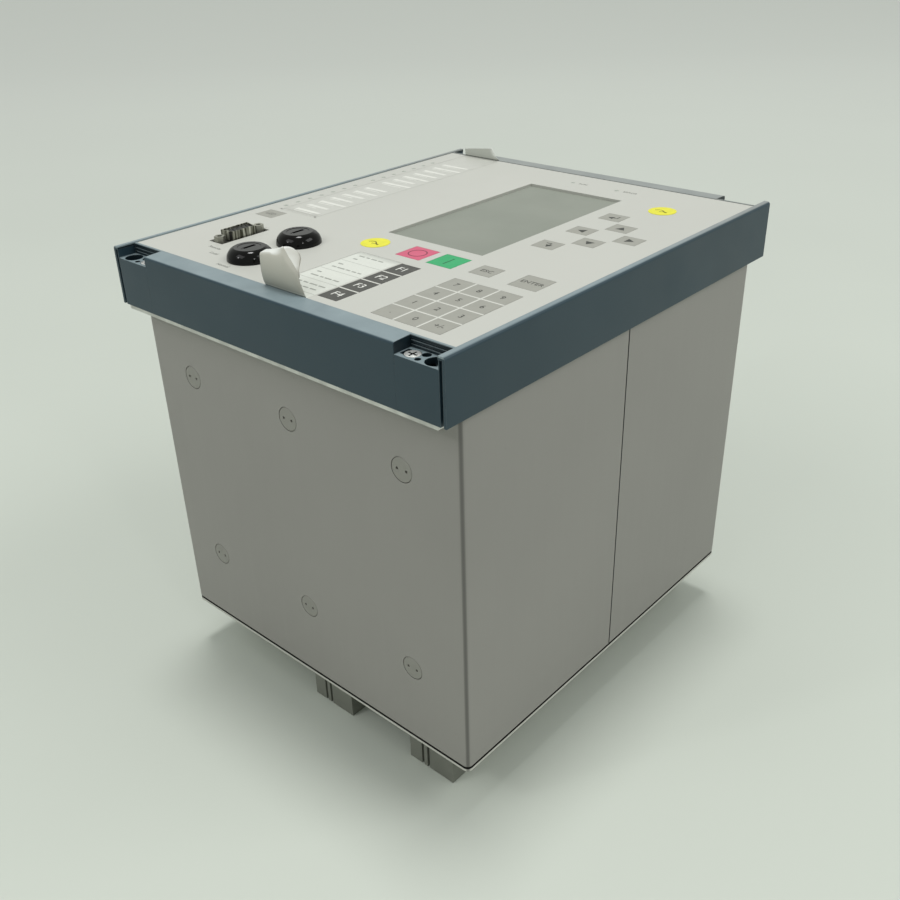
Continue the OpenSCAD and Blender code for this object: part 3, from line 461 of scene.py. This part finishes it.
class Print:
    """Collects flat shapes in millimetres and makes one thin piece of them."""

    def __init__(self):
        self.mesh = bmesh.new()

    def polygon(self, points):
        self.mesh.faces.new([self.mesh.verts.new((x, y, 0)) for x, y in points])

    def bar(self, x0, x1, y0, y1):
        self.polygon([(x0, y0), (x1, y0), (x1, y1), (x0, y1)])

    def stroke(self, points, width):
        """A band of even width along a line of points."""
        sides = ([], [])
        for i, point in enumerate(points):
            ahead = points[min(i + 1, len(points) - 1)]
            behind = points[max(i - 1, 0)]
            course = (Vector(ahead) - Vector(behind)).normalized()
            across = Vector((-course.y, course.x)) * width / 2
            sides[0].append(Vector(point) + across)
            sides[1].append(Vector(point) - across)
        for i in range(len(points) - 1):
            self.polygon([sides[1][i], sides[1][i + 1], sides[0][i + 1], sides[0][i]])

    def ring(self, x, y, radius, width, steps=40):
        turn = [2 * math.pi * i / steps for i in range(steps + 1)]
        self.stroke([(x + radius * math.cos(a), y + radius * math.sin(a)) for a in turn], width)

    def words(self, text, height, x, y):
        """Text round a place, with capitals of this height; CAPITAL is their share of the font's size."""
        curve = bpy.data.curves.new("words", "FONT")
        curve.body = text
        curve.size = height / CAPITAL
        curve.align_x = "CENTER"
        curve.align_y = "CENTER"
        curve.resolution_u = 3
        holder = bpy.data.objects.new("words", curve)
        bpy.context.scene.collection.objects.link(holder)
        shape = holder.evaluated_get(bpy.context.evaluated_depsgraph_get()).to_mesh()
        shape.transform(Matrix.Translation((x, y, 0)))
        self.mesh.from_mesh(shape)
        bpy.data.objects.remove(holder)
        bpy.data.curves.remove(curve)

    def piece(self, name, ink, z, body="root"):
        """Thickens the shapes, lays them on the level z and lets them ride on a body."""
        bmesh.ops.remove_doubles(self.mesh, verts=self.mesh.verts[:], dist=INK_WELD)
        raised = bmesh.ops.extrude_face_region(self.mesh, geom=self.mesh.faces[:])
        corners = [v for v in raised["geom"] if isinstance(v, bmesh.types.BMVert)]
        bmesh.ops.translate(self.mesh, verts=corners, vec=(0, 0, INK_T))
        bmesh.ops.recalc_face_normals(self.mesh, faces=self.mesh.faces[:])
        bmesh.ops.translate(self.mesh, verts=self.mesh.verts[:], vec=(0, 0, z + INK_GAP))
        bmesh.ops.scale(self.mesh, verts=self.mesh.verts[:], vec=(MM, MM, MM))
        return finish_piece(name, self.mesh, INKS[ink].material, body)


def finish_piece(name, mesh, material, body="root"):
    """Makes an object of a mesh, dresses it and lets it ride on a body."""
    data = bpy.data.meshes.new(name)
    mesh.to_mesh(data)
    mesh.free()
    piece = bpy.data.objects.new(name, data)
    bpy.context.scene.collection.objects.link(piece)
    dress(piece, material)
    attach(piece, body)
    return piece


# Legends on the keys

DIGIT_H, FUNCTION_H, WORD_H, SMALL_H = 3.3, 4.4, 2.9, 2.0
NUMBER_LEGENDS = {f"key_{digit}": str(digit) for digit in range(10)}
NUMBER_LEGENDS.update(key_point=".", key_sign="+/-")
ARROW_TURNS = {"key_right": 0, "key_up": 90, "key_left": 180, "key_down": 270}
ARROW_HEAD = ((2.6, 0), (-1.7, 2.6), (-1.7, -2.6))
HOOK_HEAD = ((0.2, -2.6), (0.2, 1.2), (-3.0, -0.7))
HOOK_SHAFT = ((0.2, -0.7), (2.4, -0.7), (2.4, 2.4))
HOOK_W = 0.7
SIGN_W, RING_R, BAR_HALF = 0.6, 4.6, 4.2


def key_print(key, ink, draw):
    """Draws a legend round the middle of a key and lets it ride on that key."""
    legend = Print()
    draw(legend, *middle(key)[:2])
    legend.piece(f"legend_{key}", ink, box(key)[1].z, key)


def word_legend(text, height):
    """A word or sign round the key's middle."""
    return lambda legend, x, y: legend.words(text, height, x, y)


def arrow_legend(turn, hooked=False):
    """A filled arrow head; a hooked one has a bent shaft."""
    def draw(legend, x, y):
        spin = Matrix.Rotation(math.radians(turn), 2)

        def placed(points):
            return [tuple(Vector((x, y)) + spin @ Vector(p)) for p in points]

        if hooked:
            legend.polygon(placed(HOOK_HEAD))
            legend.stroke(placed(HOOK_SHAFT), HOOK_W)
        else:
            legend.polygon(placed(ARROW_HEAD))
    return draw


for key, text in NUMBER_LEGENDS.items():
    key_print(key, "dark", word_legend(text, DIGIT_H))
for number in range(1, 5):
    key_print(f"function_key_{number}", "white", word_legend(f"F{number}", FUNCTION_H))
for key, turn in ARROW_TURNS.items():
    key_print(key, "dark", arrow_legend(turn))
key_print("key_menu", "dark", arrow_legend(0, hooked=True))
key_print("key_back", "dark", arrow_legend(90, hooked=True))
key_print("escape_key", "dark", word_legend("ESC", WORD_H))
key_print("enter_key", "dark", word_legend("ENTER", WORD_H))
key_print("lamp_test_key", "soft", word_legend("LED", WORD_H))
key_print("open_key", "wine", lambda legend, x, y: legend.ring(x, y, RING_R, SIGN_W))
key_print("close_key", "forest", lambda legend, x, y: legend.bar(
    x - SIGN_W / 2, x + SIGN_W / 2, y - BAR_HALF, y + BAR_HALF))


# Print on the front plate

FRONT_WORDS = {"RUN": (8.2, 105.6), "ERROR": (40.6, 105.6), "Remote": (-69.0, -102.4),
               "Local": (-62.0, -108.2), "Normal": (-43.5, -117.0)}
FIELD_INDENT, FIRST_FIELD, FIELD_PITCH, GROUP_PITCH = 5.0, 6.0, 9.0, 69.0
EDGE_LAP = 0.5
WRITING_ROWS, WRITING_HALF, BREAK_CHANCE = (0.66, 0.3), 0.5, 0.12
STICKER_R = 7.5


def front_print():
    """Short words beside the two pilot lamps, the port and the key switches."""
    words = Print()
    for text, place in FRONT_WORDS.items():
        words.words(text, SMALL_H, *place)
    words.piece("front_print", "soft", FACE_Z)


def lamp_labels():
    """A white field of its own length beside each lamp."""
    fields = Print()
    low = box("lamp_label_strip")[0]
    start = low.x + FIELD_INDENT
    for group in range(2):
        for i in range(7):
            y = low.y + FIRST_FIELD + group * GROUP_PITCH + i * FIELD_PITCH
            end = start + random.uniform(17.0, 22.5)
            rise = random.uniform(-0.5, 0.5)
            fields.polygon([(start + random.uniform(0, 1.5), y - 1.5), (end, y - 1.3 + rise),
                            (end + 0.6, y + 0.8 + rise), (start + 1.0, y + 1.4)])
            fields.bar(start + 2.0, end - random.uniform(2.0, 8.0), y - 3.3, y - 2.6)
    fields.piece("lamp_label_fields", "label", FACE_Z)


def lamp_strip_edges():
    """The front film runs over the edges of the lamp strip's pocket."""
    low, high = box("lamp_label_strip")
    over = Print()
    for x in (low.x, high.x):
        over.bar(x - EDGE_LAP, x + EDGE_LAP, low.y - EDGE_LAP, high.y - 0.6)
    over.bar(low.x - EDGE_LAP, high.x + EDGE_LAP, low.y - EDGE_LAP, low.y + EDGE_LAP)
    over.piece("lamp_strip_edges", "foil", FACE_Z + INK_T)


def function_labels():
    """Two lines of writing beside each function key, with a thin rule between the rows."""
    low, high = box("function_label_strip")
    left, right = low.x + 3.0, high.x - 1.6
    rules = Print()
    writing = Print()
    for number in range(1, 5):
        bottom, top = (corner.y for corner in box(f"function_key_{number}"))
        rules.bar(low.x + 1.0, high.x - 0.6, bottom - 0.7, bottom - 0.3)
        for row in WRITING_ROWS:
            y = bottom + row * (top - bottom)
            x = left + random.uniform(0, 2.5)
            while x < right - 4:
                long = random.uniform(2.2, 5.0)
                writing.bar(x, min(x + long, right), y - WRITING_HALF, y + WRITING_HALF)
                x += long + random.uniform(0.7, 1.3)
                if random.random() < BREAK_CHANCE:
                    break
    rules.piece("function_label_rules", "grey", FACE_Z)
    writing.piece("function_label_writing", "pale", FACE_Z)


def sticker_marks():
    """A short pen stroke on each round sticker."""
    marks = Print()
    low, high = box("round_stickers")
    for x, y in ((low.x + STICKER_R, low.y + STICKER_R), (high.x - STICKER_R, high.y - STICKER_R)):
        bend = [(x - 4.2 + i * 0.7, y + 1.6 * math.sin(i * 0.42) - 0.4) for i in range(12)]
        marks.stroke(bend, 0.7)
        marks.stroke([(x - 1.0, y - 1.8), (x + 1.2, y - 1.2), (x + 3.6, y - 1.5)], 0.6)
    marks.piece("sticker_marks", "pen", high.z)


def key_lines():
    """The light lines of the printed film between neighbouring number keys and function keys."""
    lines = Print()
    low, high = box("key_0")[0].y, box("key_8")[1].y
    columns = [[corner.x for corner in box(key)] for key in ("key_7", "key_8", "key_9")]
    for (_, x0), (x1, _) in zip(columns, columns[1:]):
        lines.bar(x0, x1, low, high)
    for upper, lower in (("key_7", "key_4"), ("key_4", "key_1"), ("key_1", "key_point")):
        for x0, x1 in columns:
            lines.bar(x0, x1, box(lower)[1].y, box(upper)[0].y)
    for number in range(1, 4):
        upper, lower = box(f"function_key_{number}"), box(f"function_key_{number + 1}")
        lines.bar(upper[0].x, upper[1].x, lower[1].y, upper[0].y)
    lines.piece("key_lines", "line", FACE_Z)


front_print()
key_lines()
lamp_labels()
lamp_strip_edges()
function_labels()
sticker_marks()


# Label films, with their pulled-out ends bent up

FILM_T, FILM_WELD = 0.24, 0.004
SHARP = math.radians(35)


def film(name, node, grids, finish):
    """A film made of point grids that share edges; it stands for a label strip."""
    mesh = bmesh.new()
    for grid in grids:
        rows = [[mesh.verts.new(Vector(point) * MM) for point in row] for row in grid]
        for lower, upper in zip(rows, rows[1:]):
            for i in range(len(lower) - 1):
                mesh.faces.new((lower[i], lower[i + 1], upper[i + 1], upper[i]))
    bmesh.ops.remove_doubles(mesh, verts=mesh.verts[:], dist=FILM_WELD * MM)
    bmesh.ops.recalc_face_normals(mesh, faces=mesh.faces[:])
    for face in mesh.faces:
        face.smooth = True
    for edge in mesh.edges:
        if len(edge.link_faces) == 2 and edge.calc_face_angle() > SHARP:
            edge.smooth = False
    piece = finish_piece(name, mesh, finish.material)
    wall = piece.modifiers.new("thickness", "SOLIDIFY")
    wall.thickness = FILM_T * MM
    wall.offset = 0.0
    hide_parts(node)


def spaced(start, end, count):
    """Even steps from start to end."""
    return [start + (end - start) * i / count for i in range(count + 1)]


def on_line(points, place):
    """Value on a line of (place, value) points."""
    for (a, va), (b, vb) in zip(points, points[1:]):
        if place <= b:
            return va + (vb - va) * (place - a) / (b - a)
    return points[-1][1]


def function_film():
    """The function keys' film: flat in its pocket, then bent up, with a flap curled over at the right.
    fall is the edge's height from the crest to the right end, and reach how far the flap comes back."""
    low, high = box("function_label_strip")
    half = (high.x - low.x) / 2
    centre = low.x + half
    fold_y = low.y + FILM_T / 2
    level = FACE_Z - FILM_T / 2
    tall = high.z - level - FILM_T
    crest = half - 11.6
    left_top, crest_top, flap_end = 0.8, 0.97, 0.76
    most_roll, least_roll = 80, 18
    back_shows = 0.55
    columns = spaced(-half, half, 40)
    fall = [(0.0, 1.0), (0.24, 0.82), (0.63, 0.58), (0.76, 0.3), (1.0, 0.0)]
    reach = [(0.0, 5.6), (0.1, 8.2), (0.26, 7.4), (0.5, 3.4), (0.66, 1.0), (0.75, 0.1)]

    def beyond(x):
        """Share of the way from the crest to the film's right edge."""
        return (x - crest) / (half - crest)

    def roll(x):
        """Angle by which the film's top is rolled back, most at its left."""
        near_crest = min(1.0, max(0.0, 1.0 - (crest - x) / (0.6 * (crest + half))))
        return most_roll - (most_roll - least_roll) * near_crest

    def outline(x):
        """Level of the film's edge over the fold as it shows from the front, on one line up to the crest."""
        if x > crest:
            return crest_top * tall * on_line(fall, beyond(x))
        return tall * (left_top + (crest_top - left_top) * (x + half) / (crest + half))

    def column(x, steps=24):
        """The film leans out over the bar, then stands up, and its top rolls back."""
        lean = [(0.0, -24.0), (0.3, -6.0), (0.8, 7.0), (0.83, roll(x)), (1.0, roll(x))]
        y = z = 0.0
        line = [(y, z)]
        for i in range(steps):
            tilt = math.radians(on_line(lean, (i + 0.5) / steps))
            y, z = y + math.sin(tilt), z + math.cos(tilt)
            line.append((y, z))
        size = outline(x) / (z + max(0.0, back_shows * y))
        return [Vector((centre + x, fold_y + y * size, level + z * size)) for y, z in line]

    flat = [[(centre + x, y, level) for x in columns] for y in spaced(fold_y, high.y, 12)]
    front = [column(x) for x in columns]
    flap = []
    for x in (x for x in columns if 0 <= beyond(x) <= flap_end):
        edge = column(x)[-1]
        back = on_line(reach, beyond(x))
        flap.append([edge + Vector((-0.12 * t * t, t, -0.1 * t - 0.3 * t * t)) * back
                     for t in spaced(0, 1, 6)])
    film("function_film", "function_label_strip", [flat, front, flap], FINISHES["label_film"])


def lamp_film():
    """The lamps' film: flat in its pocket, with a tab at its upper end whose right side is cut aslant."""
    low, high = box("lamp_label_strip")
    half = (high.x - low.x) / 2
    centre = low.x + half
    fold_y = high.y - FILM_T / 2
    level = FACE_Z - FILM_T / 2
    tall = high.z - level - FILM_T
    columns = spaced(-half, half, 44)
    slant, left_top = 6.3, 0.62
    roll_start, roll_reach, roll_height = 5.0, 2.4, 2.4
    rim_w, rim_reach, lean_reach = 1.6, 1.5, 0.8
    far_inside = 9.0
    outline = [(-half, left_top * tall), (half - slant, tall), (half, 0.0)]

    def curl(x, height):
        """The tab leans towards the front, and its slanted edge rolls back."""
        roll = max(0.0, (x - roll_start) / (half - roll_start))
        inside = 0.45 * (on_line(outline, x) - height) if x > half - slant - 0.1 else far_inside
        rim = max(0.0, 1.0 - inside / rim_w)
        forward = roll_reach * roll * roll * min(1.0, height / roll_height)
        return rim_reach * rim * rim - forward - lean_reach * (height / tall) ** 2

    flat = [[(centre + x, y, level) for x in columns] for y in spaced(low.y, fold_y, 24)]
    tab = [[(centre + x, fold_y + curl(x, on_line(outline, x) * t), level + on_line(outline, x) * t)
            for x in columns] for t in spaced(0, 1, 20)]
    film("lamp_film", "lamp_label_strip", [flat, tab], LAMP_FILM)


function_film()
lamp_film()


# Floor, light and camera

FLOOR_HALF, FLOOR_GAP = 9.0, 0.0002
FLOOR_TONES = rgb(199, 205, 195), rgb(202, 208, 198)
FLOOR_NEAR, FLOOR_FAR, FAR_SHADE = 0.4, 2.4, 1.19
SKY_TINT = (0.97, 1.0, 0.985, 1.0)
HORIZON_LEVEL, ZENITH_LEVEL = 0.16, 0.53
SUN_LEVEL, SUN_PLACE, SUN_ANGLE = 1.22, (-0.16, 0.2, 2.5), math.radians(14)
FRONT_TOP = (0.0, 0.0, FRONT_Z * MM)
HOUSING = (0.0, 0.0, 0.1)

# Soft lamps: watts, place, target, width and height
SOFT_LAMPS = {
    "rear_window": (1.2, (-1.35, 1.5, 1.05), FRONT_TOP, 1.7, 0.8),
    "right_fill": (19.5, (1.8, 1.0, 2.2), HOUSING, 1.6, 1.0),
    "left_fill": (11.0, (-0.5, -1.8, 2.2), HOUSING, 1.6, 1.0),
    "front_left": (1.1, (-0.35, -1.0, 0.95), FRONT_TOP, 0.1, 0.1),
    "front_right": (1.0, (1.1, -0.45, 1.0), FRONT_TOP, 0.12, 0.12),
}


def floor():
    """A wide sheet of paper just under the terminals, whose tone changes slowly with the distance."""
    mesh = bmesh.new()
    bmesh.ops.create_grid(mesh, x_segments=8, y_segments=8, size=FLOOR_HALF)
    data = bpy.data.meshes.new("floor")
    mesh.to_mesh(data)
    mesh.free()
    ground = bpy.data.objects.new("floor", data)
    ground.location.z = -FLOOR_GAP
    bpy.context.scene.collection.objects.link(ground)
    paper = Finish("floor_paper", roughness=0.9, specular_ior_level=0.0)
    away = paper.node("ShaderNodeVectorMath", {0: paper.place}, operation="LENGTH").outputs["Value"]
    far = paper.span(away, FLOOR_NEAR, FLOOR_FAR)
    cloud = paper.spread(paper.noise(400, 2.0))
    near = paper.mix(cloud, *FLOOR_TONES)
    paper.colour(paper.mix(far, near, shaded(BACKDROP, FAR_SHADE)))
    paper.bump(paper.noise(2.0, 1.0), 0.01)
    dress(ground, paper.material)


def world():
    """Room light that grows towards the zenith. The camera and mirrors see a plain backdrop."""
    sky = bpy.data.worlds.new("studio")
    bpy.context.scene.world = sky
    sky.use_nodes = True
    nodes, links = sky.node_tree.nodes, sky.node_tree.links
    room = nodes["Background"]
    room.inputs["Color"].default_value = SKY_TINT
    direction = nodes.new("ShaderNodeSeparateXYZ")
    links.new(nodes.new("ShaderNodeTexCoord").outputs["Generated"], direction.inputs[0])
    level = nodes.new("ShaderNodeMapRange")
    level.inputs["To Min"].default_value = HORIZON_LEVEL
    level.inputs["To Max"].default_value = ZENITH_LEVEL
    links.new(direction.outputs["Z"], level.inputs["Value"])
    links.new(level.outputs[0], room.inputs["Strength"])
    backdrop = nodes.new("ShaderNodeBackground")
    backdrop.inputs["Color"].default_value = BACKDROP
    chosen = nodes.new("ShaderNodeMixShader")
    ray = nodes.new("ShaderNodeLightPath").outputs
    seen = ray["Is Camera Ray"]
    for kind in ("Is Glossy Ray", "Is Transmission Ray"):
        either = nodes.new("ShaderNodeMath")
        either.operation = "MAXIMUM"
        links.new(seen, either.inputs[0])
        links.new(ray[kind], either.inputs[1])
        seen = either.outputs[0]
    links.new(seen, chosen.inputs[0])
    links.new(room.outputs[0], chosen.inputs[1])
    links.new(backdrop.outputs[0], chosen.inputs[2])
    links.new(chosen.outputs[0], nodes["World Output"].inputs["Surface"])


def lamp(name, kind, energy, place, target, **settings):
    """A lamp at a place, turned to its target."""
    light = bpy.data.lights.new(name, kind)
    light.energy = energy
    for label, value in settings.items():
        setattr(light, label, value)
    holder = bpy.data.objects.new(name, light)
    bpy.context.scene.collection.objects.link(holder)
    holder.location = Vector(place)
    holder.rotation_euler = (Vector(target) - Vector(place)).to_track_quat("-Z", "Y").to_euler()


def lights():
    """A ceiling lamp almost overhead, a window, two fills, and two small lamps that glint on the front."""
    lamp("ceiling", "SUN", SUN_LEVEL, SUN_PLACE, FRONT_TOP, angle=SUN_ANGLE)
    for name, (watts, place, target, width, height) in SOFT_LAMPS.items():
        lamp(name, "AREA", watts, place, target, shape="RECTANGLE", size=width, size_y=height)


def camera():
    """The photograph's view, from the directions of the front's edges in it. The offsets and the distance
    lead from the middle of the front's top to the camera, in millimetres."""
    azimuth, elevation, roll = (math.radians(angle) for angle in (42.402, 29.186, -1.645))
    offset_x, offset_y, distance = -2.091, -119.302, 525.025
    focal_px, frame_px, sensor = 999.814, 900, 36.0
    back = Vector((math.sin(azimuth) * math.cos(elevation), -math.cos(azimuth) * math.cos(elevation),
                   math.sin(elevation)))
    right = Vector((math.cos(azimuth), math.sin(azimuth), 0))
    up = back.cross(right)
    turn = Matrix.Rotation(roll, 3, back)
    right, up = turn @ right, turn @ up
    lens = bpy.data.cameras.new("camera")
    lens.sensor_width = sensor
    lens.lens = focal_px / frame_px * sensor
    lens.clip_start = 0.01
    eye = bpy.data.objects.new("camera", lens)
    bpy.context.scene.collection.objects.link(eye)
    place = (right * offset_x + up * offset_y + back * distance + Vector((0, 0, FRONT_Z))) * MM
    eye.matrix_world = Matrix.Translation(place) @ Matrix((right, up, back)).transposed().to_4x4()
    bpy.context.scene.camera = eye


floor()
world()
lights()
camera()
bpy.context.scene.view_settings.view_transform = "Standard"
